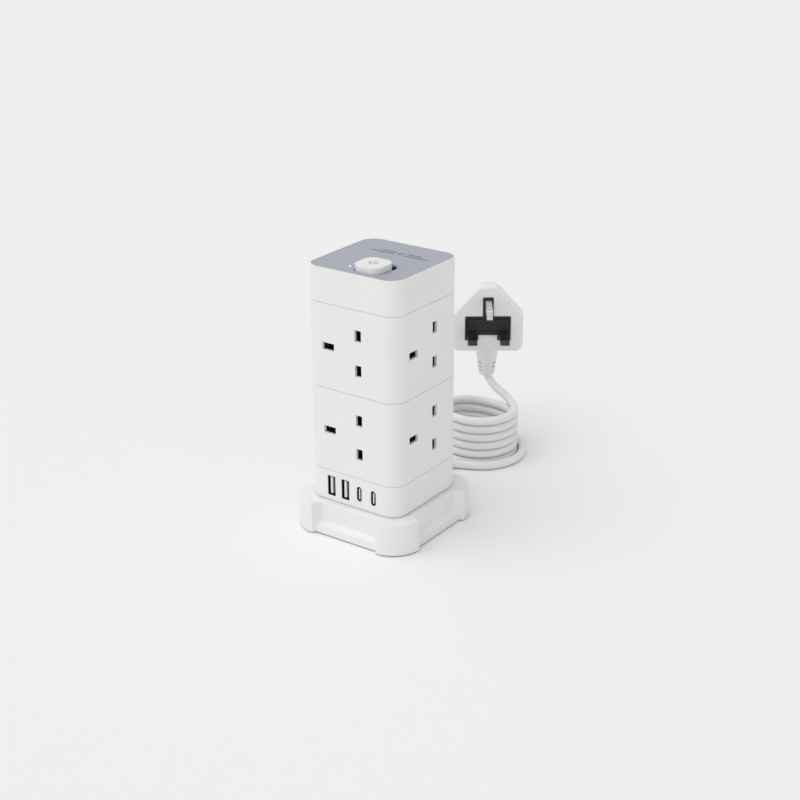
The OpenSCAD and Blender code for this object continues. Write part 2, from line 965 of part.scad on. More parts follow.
// Pockets behind the channel for the pins and their contacts
module pin_pockets(z) {
    w = leaf_gap / 2 + leaf_t + pocket_gap;
    span(
        [earth_x - earth_slot_w / 2 - pocket_gap, -channel_in - cut / 2, z - w],
        [earth_x + earth_slot_w / 2 + pocket_gap, -core_in + cut, z + w]
    );
    for (s = [-1, 1])
        span(
            [line_x - w, -channel_in - cut / 2, z + s * line_dz - line_slot_w / 2 - pocket_gap],
            [line_x + w, -core_in + cut, z + s * line_dz + line_slot_w / 2 + pocket_gap]
        );
}

module lower_socket_core() { socket_core(lower_mid_z); }
module upper_socket_core() { socket_core(upper_mid_z); }

// Two leaves that grip a line pin, joined to the ring behind them
module line_clip(z) {
    for (s = [-1, 1])
        span(
            [line_x + s * (leaf_gap + leaf_t) / 2 - leaf_t / 2, -clip_mouth, z - clip_h / 2],
            [line_x + s * (leaf_gap + leaf_t) / 2 + leaf_t / 2, -line_ring + strip_t, z + clip_h / 2]
        );
}

// Ring of strip with four clips, at height z
module line_contacts(z) {
    square_frame(line_ring, line_ring - strip_t, z - strip_h / 2, strip_h);
    for (k = [0 : 3])
        on_face(k)
            line_clip(z);
}

// Upright strip inside the ring, with a tab to the ring at each height in zs
module riser(k, zs, z0, z1) {
    y0 = -line_ring + riser_in;
    on_face(k) {
        span([riser_x, y0, z0], [riser_x + riser_w, y0 + strip_t, z1]);
        for (z = zs)
            span(
                [riser_x, -line_ring, z - strip_h / 2],
                [riser_x + riser_w, y0 + strip_t, z + strip_h / 2]
            );
    }
}

module line_busbar(k, side) {
    levels = [lower_mid_z + side * line_dz, upper_mid_z + side * line_dz];
    color(brass) {
        for (z = levels)
            line_contacts(z);
        riser(k, levels, riser_end_z, cap_z + board_t + riser_out_top);
    }
}

module live_busbar() { line_busbar(1, 1); }
module neutral_busbar() { line_busbar(3, -1); }

// Earth contacts grip the pin from above and below
module earth_clip(z) {
    for (s = [-1, 1])
        span(
            [-earth_leaf_out, -clip_mouth, z + s * (leaf_gap + leaf_t) / 2 - leaf_t / 2],
            [-earth_leaf_in, -earth_ring + strip_t, z + s * (leaf_gap + leaf_t) / 2 + leaf_t / 2]
        );
    span(
        [-earth_leaf_out, -earth_ring, z - leaf_gap / 2 - leaf_t],
        [-earth_ring + 2 * strip_t, -earth_ring + strip_t, z + leaf_gap / 2 + leaf_t]
    );
}

module earth_busbar() {
    color(brass) {
        for (z = [lower_mid_z, upper_mid_z]) {
            square_frame(
                earth_ring, earth_ring - strip_t,
                z - leaf_gap / 2 - leaf_t, leaf_gap + 2 * leaf_t
            );
            for (k = [0 : 3])
                on_face(k)
                    earth_clip(z);
        }
        span(
            [-riser_w / 2, earth_ring - 2 * strip_t, riser_end_z],
            [riser_w / 2, earth_ring - strip_t + slide_gap / 2, upper_mid_z]
        );
    }
}

// Shutters

module shutter(z) {
    y0 = -channel_out + slide_gap;
    y1 = -channel_in - slide_gap;
    tall = line_dz + line_slot_w / 2 + shutter_over;
    left = earth_x + earth_slot_w / 2 + ramp_reach - shutter_travel;
    color(black) {
        span([line_x - shutter_w / 2, y0, z - tall], [line_x + shutter_w / 2, y1, z + tall]);
        translate([0, 0, z - ramp_h / 2])
            linear_extrude(ramp_h)
                polygon([
                    [left, y1],
                    [left + shutter_t, y0],
                    [line_x, y0],
                    [line_x, y1]
                ]);
    }
}

// Folded leaf that pushes the shutter back over the slots
module shutter_spring(z) {
    x0 = line_x + shutter_w / 2 + slide_gap / 2;
    x1 = spring_stop_x - slide_gap / 2;
    step = (x1 - x0) / shutter_spring_folds;
    rise = shutter_spring_t * norm([step, 2 * shutter_spring_amp]) / step;
    lower = [
        for (i = [0 : shutter_spring_folds])
            [x0 + i * step, (i % 2 == 0 ? -1 : 1) * shutter_spring_amp - rise / 2]
    ];
    upper = [for (i = [shutter_spring_folds : -1 : 0]) lower[i] + [0, rise]];
    color(steel)
        translate([0, -(channel_out + channel_in) / 2 + shutter_spring_w / 2, z])
            rotate([90, 0, 0])
                linear_extrude(shutter_spring_w)
                    polygon(concat(lower, upper));
}

module lower_front_shutter() { on_face(0) shutter(lower_mid_z); }
module lower_right_shutter() { on_face(1) shutter(lower_mid_z); }
module lower_back_shutter() { on_face(2) shutter(lower_mid_z); }
module lower_left_shutter() { on_face(3) shutter(lower_mid_z); }
module upper_front_shutter() { on_face(0) shutter(upper_mid_z); }
module upper_right_shutter() { on_face(1) shutter(upper_mid_z); }
module upper_back_shutter() { on_face(2) shutter(upper_mid_z); }
module upper_left_shutter() { on_face(3) shutter(upper_mid_z); }
module lower_front_spring() { on_face(0) shutter_spring(lower_mid_z); }
module lower_right_spring() { on_face(1) shutter_spring(lower_mid_z); }
module lower_back_spring() { on_face(2) shutter_spring(lower_mid_z); }
module lower_left_spring() { on_face(3) shutter_spring(lower_mid_z); }
module upper_front_spring() { on_face(0) shutter_spring(upper_mid_z); }
module upper_right_spring() { on_face(1) shutter_spring(upper_mid_z); }
module upper_back_spring() { on_face(2) shutter_spring(upper_mid_z); }
module upper_left_spring() { on_face(3) shutter_spring(upper_mid_z); }

// Terminal block, wires and USB parts

// Block that holds the lower ends of the busbars, with an arm to each side wall
module terminal_block() {
    z0 = riser_end_z - terminal_floor;
    color(black)
        difference() {
            union() {
                span(
                    [-terminal_w / 2, terminal_y - terminal_d / 2, z0],
                    [terminal_w / 2, terminal_y + terminal_d / 2, z0 + terminal_h]
                );
                span(
                    [-inner, terminal_y - terminal_arm / 2, z0],
                    [inner, terminal_y + terminal_arm / 2, z0 + terminal_floor]
                );
            }
            for (k = [1, 3])
                riser_slot(k, riser_end_z, terminal_h);
            span(
                [-riser_w / 2 - pocket_gap, earth_ring - 2 * strip_t - pocket_gap, riser_end_z],
                [riser_w / 2 + pocket_gap, earth_ring + pocket_gap, riser_end_z + terminal_h]
            );
        }
}

// Shares of the way right, forward and up at each point of a wire
wire_route_shares = [
    [0, 0, 0], [0, 0.25, 0], [0.3, 0.5, 0.05], [0.7, 0.8, 0.2], [1, 1, 0.5], [1, 1, 1]
];

// Three wires from the clamped lead up to the terminal block
module supply_wires() {
    color([0.45, 0.3, 0.2])
        for (i = [-1 : 1]) {
            start = [gland_x + i * wire_fan, clamp_y - clamp_d / 2 - cut, gland_z];
            end = [i * wire_gap, terminal_y, riser_end_z - terminal_floor];
            way = end - start;
            points = [
                for (share = wire_route_shares)
                    start + [way[0] * share[0], way[1] * share[1], way[2] * share[2]]
            ];
            tube(points, wire_r, wire_sides, [1, 0, 0], [0, -1, 0], [0, 0, 1]);
        }
}

module usb_board() {
    color(board_green)
        span(
            [-usb_board_w / 2, usb_board_y, usb_mid_z - usb_board_h / 2],
            [usb_board_w / 2, usb_board_y + board_t, usb_mid_z + usb_board_h / 2]
        );
}

module usb_a_shells() {
    color(steel)
        for (i = [0, 1])
            translate([usb_place(i), 0, usb_mid_z])
                difference() {
                    span(
                        [-usb_a_w / 2, -half + usb_set, -usb_a_h / 2],
                        [usb_a_w / 2, usb_board_y, usb_a_h / 2]
                    );
                    span(
                        [-usb_a_w / 2 + usb_wall_t, -half + usb_set - cut, -usb_a_h / 2 + usb_wall_t],
                        [usb_a_w / 2 - usb_wall_t, usb_board_y - usb_wall_t, usb_a_h / 2 - usb_wall_t]
                    );
                }
}

module usb_a_tongues() {
    color(white)
        for (i = [0, 1])
            translate([usb_place(i) - tongue_shift, 0, usb_mid_z])
                span(
                    [-tongue_t / 2, -half + tongue_set, -usb_a_h / 2 + 2 * usb_wall_t],
                    [tongue_t / 2, usb_board_y - usb_wall_t, usb_a_h / 2 - 2 * usb_wall_t]
                );
}

module usb_c_shells() {
    color(steel)
        for (i = [2, 3])
            translate([usb_place(i), 0, usb_mid_z])
                difference() {
                    stadium(usb_c_w, usb_c_h, -half + usb_set, usb_board_y);
                    stadium(
                        usb_c_w - 2 * usb_wall_t, usb_c_h - 2 * usb_wall_t,
                        -half + usb_set - cut, usb_board_y - usb_wall_t
                    );
                }
}

module usb_c_tongues() {
    color(white)
        for (i = [2, 3])
            translate([usb_place(i), 0, usb_mid_z])
                span(
                    [-c_tongue_t / 2, -half + tongue_set, -usb_c_h / 2 + 3 * usb_wall_t],
                    [c_tongue_t / 2, usb_board_y - usb_wall_t, usb_c_h / 2 - 3 * usb_wall_t]
                );
}

module usb_transformer() {
    y0 = usb_board_y + board_t;
    color([0.85, 0.75, 0.3])
        span(
            [-transformer_w / 2, y0, usb_mid_z - transformer_h / 2],
            [transformer_w / 2, y0 + transformer_d, usb_mid_z + transformer_h / 2]
        );
}

module usb_capacitors() {
    color([0.2, 0.25, 0.4])
        for (s = [-1, 1])
            translate([s * capacitor_at, usb_board_y + board_t, usb_mid_z])
                rotate([-90, 0, 0])
                    cylinder(r = capacitor_r, h = capacitor_len);
}

// Lead

// Gland: flange inside the wall, neck through it and a slotted taper outside
module cord_gland() {
    in_y = panel_half - base_wall;
    color(white)
        translate([gland_x, 0, gland_z])
            rotate([-90, 0, 0]) {
                translate([0, 0, in_y - gland_flange_t - cord_in_len])
                    cylinder(r = cord_r, h = cord_in_len + cut);
                translate([0, 0, in_y - gland_flange_t])
                    cylinder(r = gland_flange_r, h = gland_flange_t);
                translate([0, 0, in_y - cut])
                    cylinder(r = gland_neck_r, h = base_wall + 2 * cut);
                difference() {
                    translate([0, 0, panel_half])
                        cylinder(r1 = gland_root_r, r2 = gland_tip_r, h = gland_len);
                    for (i = [0 : gland_slots - 1], s = [-1, 1])
                        translate([
                            s * (gland_root_r + gland_tip_r) / 2,
                            0,
                            panel_half + gland_len * (i + 1) / (gland_slots + 1)
                        ])
                            cube([2 * gland_slot_deep, 2 * gland_root_r, gland_slot_w], center = true);
                }
            }
}

// Lead: straight out of the gland, then one bend that comes down to the floor
lead_end_dir = [-sin(loop_start), cos(loop_start), 0];
lead_points = [
    for (p = lead_route)
        [gland_x + p[0], panel_half + gland_len + p[1], max(cord_r, gland_z + p[2])]
];
lead_end = lead_points[len(lead_points) - 1];

module cord_lead() {
    color(white)
        tube(lead_points, cord_r, cord_sides, [0, 0, 1], [0, 1, 0], lead_end_dir);
}

// Radius and height of the wound lead at angle a: one wide loop on the floor, then the
// lead moves in, and after a turn on the floor each turn climbs one pitch at its back
function eased(t) = (1 - cos(180 * min(max(t, 0), 1))) / 2;
function wound_r(a) = loop_r + (coil_r - loop_r) * eased((a - move_start) / move_in);
function wound_z(a) =
    let (turn = floor((a - step_start) / full_turn))
    turn < 1 ? cord_r :
    cord_r + turn_pitch * (turn - 1 + eased((a - step_start - turn * full_turn) / step_in));
coil_x = lead_end[0] + cord_d * lead_end_dir[0] - loop_r * cos(loop_start);
coil_y = lead_end[1] + cord_d * lead_end_dir[1] - loop_r * sin(loop_start);
function wound_point(a) = [coil_x + wound_r(a) * cos(a), coil_y + wound_r(a) * sin(a), wound_z(a)];
coil_steps = round((coil_end - loop_start) * loop_rings / full_turn);
wound_points = [
    for (i = [0 : coil_steps])
        wound_point(loop_start + (coil_end - loop_start) * i / coil_steps)
];
coil_start_point = wound_points[0] - cord_d * lead_end_dir;
tail_dir = [-sin(coil_end), cos(coil_end), 0];
coil_end_point = wound_points[coil_steps] + cord_d * tail_dir;
coil_points = concat([coil_start_point], wound_points, [coil_end_point]);

// Least distance between two stretches of the coil that are over half a turn apart
coil_gaps = [
    for (i = [0 : coil_steps - loop_rings / 2], j = [i + loop_rings / 2 : coil_steps])
        norm(wound_points[i] - wound_points[j]) - cord_d
];
echo(least_coil_gap = min(coil_gaps));

module cord_coil() {
    color(white)
        tube(coil_points, cord_r, coil_sides, [0, 0, 1], lead_end_dir, tail_dir);
}

// Tail: a bend up from the coil's last turn into the plug's relief
tail_points = [for (p = tail_route) coil_end_point + p];
tail_last = len(tail_points) - 1;

module cord_tail() {
    last_way = unit(tail_points[tail_last] - tail_points[tail_last - 1]);
    color(white)
        tube(tail_points, cord_r, cord_sides, [1, 1, 0], tail_dir, last_way);
}

// Plug, drawn with its pins towards -Y and its live and neutral pins at z = 0

module plug_frame() {
    translate(coil_end_point + relief_foot)
        rotate([0, 0, plug_turn])
            translate([0, -relief_y, relief_len + plug_drop])
                children();
}

// Half outline of the plug body as round corners: x, z and radius
function plug_corners(inset) = [
    [plug_w / 2 - plug_bottom_r, -plug_drop + plug_bottom_r, plug_bottom_r - inset],
    [plug_w / 2 - plug_shoulder_r, plug_shoulder_z, plug_shoulder_r - inset],
    [plug_crown_at, plug_top - plug_crown_r, plug_crown_r - inset]
];

// Convex slice of the plug's outline, from y to y + t
module plug_slice(inset, y, t) {
    for (c = plug_corners(inset), s = [-1, 1])
        translate([s * c[0], y + t, c[1]])
            rotate([90, 0, 0])
                cylinder(r = c[2], h = t, $fn = 32);
}

module plug_body() {
    color(white)
        difference() {
            union() {
                plug_frame()
                    hull() {
                        plug_slice(plug_edge, 0, plug_edge);
                        plug_slice(0, plug_edge, plug_rim_t - plug_edge);
                    }
                plug_frame()
                    hull() {
                        plug_slice(0, plug_rim_t - plug_edge, plug_edge);
                        plug_slice(plug_back_in - plug_edge, plug_t - plug_edge, plug_edge);
                    }
            }
            plug_frame() {
                insert_shape(-cut, insert_deep);
                carrier_way(-cut);
                for (s = [-1, 1])
                    span(
                        [s * line_dz - line_pin_w / 2, -cut, -pin_t / 2],
                        [s * line_dz + line_pin_w / 2, pin_root, pin_t / 2]
                    );
                earth_pin_way(pin_root);
            }
        }
}

// Middle of a line pin inside its sleeve
module sleeve_bore() {
    span(
        [-line_pin_w / 2 + sleeve_in, -sleeve_len - cut, -pin_t / 2 + sleeve_in],
        [line_pin_w / 2 - sleeve_in, insert_deep + cut, pin_t / 2 - sleeve_in]
    );
}

// Black plate round the pins, with a leg round each line pin and a tab round the earth pin
module insert_shape(y0, y1) {
    span([-insert_w / 2, y0, insert_middle_z], [insert_w / 2, y1, insert_top]);
    span([-insert_w / 2, y0, insert_bottom], [-insert_leg_x, y1, insert_top]);
    span([insert_leg_x, y0, insert_bottom], [insert_w / 2, y1, insert_top]);
    span([-insert_tab_w / 2, y0, insert_middle_z], [insert_tab_w / 2, y1, insert_tab_top]);
}

// Way for the fuse carrier, with its running clearance
module carrier_way(y0) {
    span(
        [-carrier_w / 2 - slide_gap, y0, carrier_bottom - slide_gap],
        [carrier_w / 2 + slide_gap, carrier_deep + slide_gap, carrier_top + slide_gap]
    );
}

module earth_pin_way(y1) {
    span(
        [-pin_t / 2, -2 * cut, earth_spacing - earth_pin_h / 2],
        [pin_t / 2, y1, earth_spacing + earth_pin_h / 2]
    );
}

module plug_insert() {
    color(black)
        plug_frame()
            difference() {
                union() {
                    insert_shape(-insert_proud, insert_deep);
                    for (s = [-1, 1])
                        span(
                            [s * line_dz - line_pin_w / 2, -sleeve_len, -pin_t / 2],
                            [s * line_dz + line_pin_w / 2, 0, pin_t / 2]
                        );
                }
                for (s = [-1, 1])
                    translate([s * line_dz, 0, 0])
                        sleeve_bore();
                earth_pin_way(insert_deep + cut);
                carrier_way(-2 * cut);
            }
}

// Flat pin along -Y with a chamfered tip; w across, h high, root inside the body
module flat_pin(w, h, len) {
    translate([-w / 2, 0, 0])
        rotate([90, 0, 90])
            linear_extrude(w)
                polygon([
                    [pin_root, -h / 2],
                    [-len + pin_tip, -h / 2],
                    [-len, -h / 2 + pin_tip_in],
                    [-len, h / 2 - pin_tip_in],
                    [-len + pin_tip, h / 2],
                    [pin_root, h / 2]
                ]);
}

module live_neutral_pins() {
    color(brass)
        plug_frame()
            for (s = [-1, 1])
                translate([s * line_dz, 0, 0])
                    difference() {
                        flat_pin(line_pin_w, pin_t, line_pin_len);
                        difference() {
                            span([-line_pin_w, -sleeve_len, -pin_t], [line_pin_w, insert_deep, pin_t]);
                            sleeve_bore();
                        }
                    }
}

module earth_pin() {
    color(brass)
        plug_frame()
            translate([0, 0, earth_spacing])
                flat_pin(pin_t, earth_pin_h, earth_pin_len);
}

// Carrier that pulls straight out of the insert and holds the fuse across
module fuse_carrier() {
    mid = (carrier_top + carrier_bottom) / 2;
    room = fuse_r + hole_gap / 2;
    color(black)
        plug_frame()
            difference() {
                span(
                    [-carrier_w / 2, -carrier_proud, carrier_bottom],
                    [carrier_w / 2, carrier_deep, carrier_top]
                );
                translate([0, carrier_deep / 2, mid])
                    rotate([0, 90, 0])
                        cylinder(r = room, h = fuse_len + 2 * hole_gap, center = true);
                span(
                    [-fuse_len / 2 - hole_gap, carrier_deep / 2, mid - room],
                    [fuse_len / 2 + hole_gap, carrier_deep + cut, mid + room]
                );
            }
}

module plug_fuse() {
    color(steel)
        plug_frame()
            translate([0, carrier_deep / 2, (carrier_top + carrier_bottom) / 2])
                rotate([0, 90, 0])
                    cylinder(r = fuse_r, h = fuse_len, center = true);
}

// Tapered relief under the plug with slots at both sides
module plug_relief() {
    color(white)
        plug_frame()
            translate([0, relief_y, -plug_drop - relief_len])
                difference() {
                    cylinder(r1 = relief_tip_r, r2 = relief_top_r, h = relief_len);
                    for (i = [0 : relief_slots - 1], side = [0, 1])
                        mirror([side, 0, 0])
                            translate([0, 0, relief_first + relief_pitch * i])
                                span(
                                    [relief_core_r, -relief_top_r, -relief_slot_w / 2],
                                    [relief_top_r + cut, relief_top_r, relief_slot_w / 2]
                                );
                }
}

base_shell();
base_plate();
rubber_feet();
small_screws();
tie_screws();
usb_tier_shell();
lower_outlet_shell();
upper_outlet_shell();
top_cap_shell();
top_panel();
power_button();
button_spring();
switch_body();
indicator_lens();
indicator_led();
top_board();
surge_varistors();
lower_socket_core();
upper_socket_core();
live_busbar();
neutral_busbar();
earth_busbar();
lower_front_shutter();
lower_right_shutter();
lower_back_shutter();
lower_left_shutter();
upper_front_shutter();
upper_right_shutter();
upper_back_shutter();
upper_left_shutter();
lower_front_spring();
lower_right_spring();
lower_back_spring();
lower_left_spring();
upper_front_spring();
upper_right_spring();
upper_back_spring();
upper_left_spring();
terminal_block();
supply_wires();
usb_board();
usb_a_shells();
usb_a_tongues();
usb_c_shells();
usb_c_tongues();
usb_transformer();
usb_capacitors();
cord_clamp();
cord_gland();
cord_lead();
cord_coil();
cord_tail();
plug_body();
plug_insert();
live_neutral_pins();
earth_pin();
fuse_carrier();
plug_fuse();
plug_relief();
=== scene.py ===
"""Looks of the tower power strip: its rounded edges, finishes, prints, lead, light and camera."""

import json
import math

import bmesh
import bpy
from mathutils import Matrix, Vector

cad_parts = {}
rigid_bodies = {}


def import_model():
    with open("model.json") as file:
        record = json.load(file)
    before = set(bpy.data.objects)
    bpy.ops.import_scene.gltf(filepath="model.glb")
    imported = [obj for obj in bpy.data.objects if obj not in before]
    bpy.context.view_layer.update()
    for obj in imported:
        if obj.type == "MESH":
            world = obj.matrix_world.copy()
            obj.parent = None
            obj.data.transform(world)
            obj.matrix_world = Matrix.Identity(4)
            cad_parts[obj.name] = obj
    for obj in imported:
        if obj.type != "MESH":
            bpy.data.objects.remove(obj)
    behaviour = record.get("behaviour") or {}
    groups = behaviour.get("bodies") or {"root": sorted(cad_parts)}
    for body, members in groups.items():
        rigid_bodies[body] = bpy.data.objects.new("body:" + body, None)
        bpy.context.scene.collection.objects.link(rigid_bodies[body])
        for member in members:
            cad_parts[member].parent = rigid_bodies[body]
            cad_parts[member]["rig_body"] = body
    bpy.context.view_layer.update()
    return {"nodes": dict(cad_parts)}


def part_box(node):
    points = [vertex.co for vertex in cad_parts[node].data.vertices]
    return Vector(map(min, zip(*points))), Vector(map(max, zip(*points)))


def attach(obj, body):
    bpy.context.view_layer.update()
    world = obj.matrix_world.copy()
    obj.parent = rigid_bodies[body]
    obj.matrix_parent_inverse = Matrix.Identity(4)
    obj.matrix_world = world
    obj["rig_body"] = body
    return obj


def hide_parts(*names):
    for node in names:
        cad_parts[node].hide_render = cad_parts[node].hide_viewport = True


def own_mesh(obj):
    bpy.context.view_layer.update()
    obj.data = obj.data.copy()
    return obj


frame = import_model()

MM = 0.001
FULL_TURN = 360

# Camera, fitted to the slots, seams and edges of the photographed tower; Blender takes the
# sensor and the lens in millimetres
CAMERA_SENSOR = 36
CAMERA_LENS = 70.15
CAMERA_AZIMUTH = math.radians(35.54)
CAMERA_PITCH = math.radians(22.6)
CAMERA_ROLL = math.radians(-0.26)
CAMERA_DISTANCE = 961.7 * MM
CAMERA_RIGHT = 10.04 * MM
CAMERA_UP = -13.89 * MM
LOOKED_AT = Vector((0, 0, 96.5 * MM))

# Outlet tiers, and the way that the shutters on each side slide
TIERS = ("lower", "upper")
SLIDES = {"front": (1, 0, 0), "right": (0, 1, 0), "back": (-1, 0, 0), "left": (0, -1, 0)}

# The tower's plan, and how far the base's top lies below the tower's foot
TOWER_HALF = 34 * MM
TOWER_CORNER = 10.5 * MM
PLINTH_H = 1 * MM

# Points closer than this are one, and faces that turn less than this are one flat face
SAME_POINT = 0.001 * MM
FLAT_ANGLE = math.radians(0.5)

# An edge is sharp past this angle
SHARP_ANGLE = math.radians(35)

# How close a point on a top, a rim or a wall is to it, and how far the rim is from the tower
AT_TOP = 0.01 * MM
AT_RIM = 0.1 * MM
AT_WALL = 0.1 * MM
PAST_TOWER = 0.5 * MM

# Roundings of the main edges, and the height at the tower's foot that has none
WALL_ROUNDING = 0.22 * MM
CAP_ROUNDING = 0.35 * MM
BUTTON_ROUNDING = 0.6 * MM
RIM_ROUNDING = 0.8 * MM
CRISP_FOOT = 1 * MM

# Width of the narrow bevel that breaks all other sharp edges
EDGE_BREAK = 0.12 * MM
BASE_BREAK = 0.3 * MM
PLUG_BREAK = 0.5 * MM

# How much more large faces count in the shading than small ones, where 50 is even
LARGE_FACE_WEIGHT = 90

# Reach of the painted shade in the button's well: past the button's box, and below the button's
# top
WELL_SHADE_NEAR = Vector((0.9, 0.9, 0)) * MM
WELL_SHADE_FAR = Vector((1.7, 3.6, 0)) * MM
WELL_SHADE_DEEP = 14 * MM

# The USB-C tongues show near their mouths
TONGUES_MOVED = Vector((0, -0.8, 0)) * MM

# Size of the patches in which a finish drifts in colour and sheen
DRIFT_SIZE = 22.2 * MM

# Lead: its listed points, as millimetres right, back and up from the gland's tip and from the
# coil's end
CORD_D = 5.6 * MM
GLAND_TIP = Vector((-16, 58, 9)) * MM
LEAD_ROUTE = [
    (0, 0, 0), (0, 4, 0), (0, 8, -0.1), (0.3, 11.9, -0.4), (1.1, 15.8, -1.1), (2.5, 19.5, -2.1),
    (4.5, 22.9, -3.4), (6.9, 26, -4.6), (9.7, 28.8, -5.5), (12.9, 31, -6), (16.4, 32.8, -6.2),
]
TAIL_ROUTE = [
    (0, 0, 0), (-3.6, 3.1, 0.2), (-7.7, 5.6, 0.8), (-12, 7.5, 1.8), (-16.5, 8.6, 3.2),
    (-20.8, 9.5, 5.2), (-24.6, 10.4, 8), (-27.7, 11, 11.6), (-30, 11.5, 14.9),
]

# Coil and the wider loop round it, at the middle of the lead, and the rise of a turn
COIL_R = 24 * MM
LOOP_GAP = 0.6 * MM
LOOP_R = COIL_R + CORD_D + LOOP_GAP
TURN_GAP = 0.42 * MM
TURN_PITCH = CORD_D + TURN_GAP

# Degrees round the coil: the loop's start, where the lead moves in from the loop, where
# each turn steps up, the coil's end, and the step between two points
LOOP_START = -67
MOVE_START = 210
MOVE_IN = 80
STEP_START = 80
STEP_IN = 120
COIL_TURNS = 6
COIL_END = 45 + COIL_TURNS * FULL_TURN
COIL_STEP = 7.5

# Ink: its height over the surface, the width of a ring's line, and the steps of a ring
INK_LIFT = 0.02 * MM
INK_LINE = 0.6 * MM
RING_STEPS = 48

# Symbol on the button: the ring's start and end leave a gap for the bar
SYMBOL_R = 2.5 * MM
SYMBOL_START = 138
SYMBOL_END = 402
SYMBOL_BAR = 2.8 * MM
SYMBOL_BAR_UP = 1.7 * MM

# Rules on the panel: a row in front and a row behind, to both sides of a small ring
RULES_RIGHT = 3 * MM
RULES_BACK = 14.6 * MM
RULES_RING_R = 1.7 * MM
RULES_GAP = 3.6 * MM
RULES_APART = 3.4 * MM
RULE_WIDTH = 1.1 * MM
FRONT_RULE = 17 * MM
BACK_RULE = 11 * MM

# Floor: a wide disc, just under the object so that the two never share a plane
FLOOR_RADIUS = 12000 * MM
FLOOR_SIDES = 64
FLOOR_DROP = 0.2 * MM
FLOOR_COLOUR = "#F6F6F6"

# Light: a sky that is brighter low at the front, and a wide key lamp high above
BACKDROP_COLOUR = "#EFEFEF"
SKY_FRONT = Vector((-0.25, -0.9, -0.35)).normalized()
SKY_BACK_LEVEL = 0.5
SKY_FRONT_LEVEL = 1.0
KEY_ENERGY = 0.82
KEY_ANGLE = math.radians(50)
KEY_FROM = Vector((-0.2, -0.27, 0.87))


# Camera

def place_camera():
    """Camera at the photograph's viewing angle, with no shift."""
    back = Vector((
        math.sin(CAMERA_AZIMUTH) * math.cos(CAMERA_PITCH),
        -math.cos(CAMERA_AZIMUTH) * math.cos(CAMERA_PITCH),
        math.sin(CAMERA_PITCH),
    ))
    level = Vector((math.cos(CAMERA_AZIMUTH), math.sin(CAMERA_AZIMUTH), 0))
    turned = Matrix.Rotation(CAMERA_ROLL, 3, back)
    right = turned @ level
    up = turned @ back.cross(level)
    data = bpy.data.cameras.new("camera")
    data.lens = CAMERA_LENS
    data.sensor_width = CAMERA_SENSOR
    camera = bpy.data.objects.new("camera", data)
    bpy.context.scene.collection.objects.link(camera)
    place = LOOKED_AT + back * CAMERA_DISTANCE + right * CAMERA_RIGHT + up * CAMERA_UP
    axes = Matrix((right, up, back)).transposed().to_4x4()
    camera.matrix_world = Matrix.Translation(place) @ axes
    bpy.context.scene.camera = camera


# Tools for materials

def linear(text):
    """Linear RGBA of an sRGB hex colour."""
    parts = [int(text[i:i + 2], 16) / 255 for i in (1, 3, 5)]
    return tuple(c / 12.92 if c <= 0.04045 else ((c + 0.055) / 1.055) ** 2.4 for c in parts) + (1,)


def add(tree, kind, inputs=None, **settings):
    """Adds a node. settings are its own properties; inputs give each socket a value or a link."""
    made = tree.nodes.new(kind)
    for name, value in settings.items():
        setattr(made, name, value)
    for name, value in (inputs or {}).items():
        if isinstance(value, bpy.types.NodeSocket):
            tree.links.new(value, made.inputs[name])
        else:
            made.inputs[name].default_value = value
    return made


def new_material(name):
    """Material with an empty node tree."""
    material = bpy.data.materials.new(name)
    material.use_nodes = True
    material.node_tree.nodes.clear()
    return material


def make_finish(name, light, dark, rough, grain, deep, metallic=0.0, sockets=None):
    """Material that drifts slowly between two colours and two roughnesses.

    Its grain has a size and a depth in metres. The real grains are mostly finer than a
    render can show, so each is drawn 0.3 to 1 mm wide. sockets gives the shader's other values.
    """
    material = new_material(name)
    tree = material.node_tree
    place = add(tree, "ShaderNodeTexCoord").outputs["Object"]
    drift = add(tree, "ShaderNodeTexNoise", {
        "Vector": place, "Scale": 1 / DRIFT_SIZE, "Detail": 2.0,
    })
    colour = add(tree, "ShaderNodeMix", {
        0: drift.outputs["Fac"], 6: linear(dark), 7: linear(light),
    }, data_type="RGBA")
    sheen = add(tree, "ShaderNodeMapRange", {
        "Value": drift.outputs["Fac"], "To Min": rough[0], "To Max": rough[1],
    })
    grains = add(tree, "ShaderNodeTexNoise", {
        "Vector": place, "Scale": 1 / grain, "Detail": 3.0,
    })
    relief = add(tree, "ShaderNodeBump", {
        "Height": grains.outputs["Fac"], "Strength": 1.0, "Distance": deep,
    })
    shader = add(tree, "ShaderNodeBsdfPrincipled", {
        "Base Color": colour.outputs[2],
        "Roughness": sheen.outputs["Result"],
        "Normal": relief.outputs["Normal"],
        "Metallic": metallic,
        **(sockets or {}),
    })
    out = add(tree, "ShaderNodeOutputMaterial")
    tree.links.new(shader.outputs["BSDF"], out.inputs["Surface"])
    return material


# White polycarbonate from a finely spark-eroded mould: a soft, even white with a faint grain
white_housing = make_finish(
    "white polycarbonate", "#EFEFEE", "#EBEBEA",
    rough=(0.5, 0.58), grain=0.5 * MM, deep=0.004 * MM,
    sockets={"Specular IOR Level": 0.35},
)

# The same plastic dyed blue-grey and moulded a little smoother: a slight sheen
grey_panel = make_finish(
    "blue-grey polycarbonate", "#A6AAB6", "#A1A5B1",
    rough=(0.4, 0.48), grain=0.4 * MM, deep=0.003 * MM,
)

# Black nylon with glass fibres, moulded: dull, with a slight mottle from the fibres. On the cap
# the same finish is painted shade inside the button's well
black_nylon_and_well_shade = make_finish(
    "black nylon", "#1C1C1E", "#141416",
    rough=(0.42, 0.55), grain=0.4 * MM, deep=0.006 * MM,
)

# Black acetal of the shutters, moulded: deep black and dull behind the slots
black_acetal = make_finish(
    "black acetal", "#0E0E0F", "#0A0A0B",
    rough=(0.55, 0.65), grain=0.4 * MM, deep=0.003 * MM,
    sockets={"Specular IOR Level": 0.25},
)

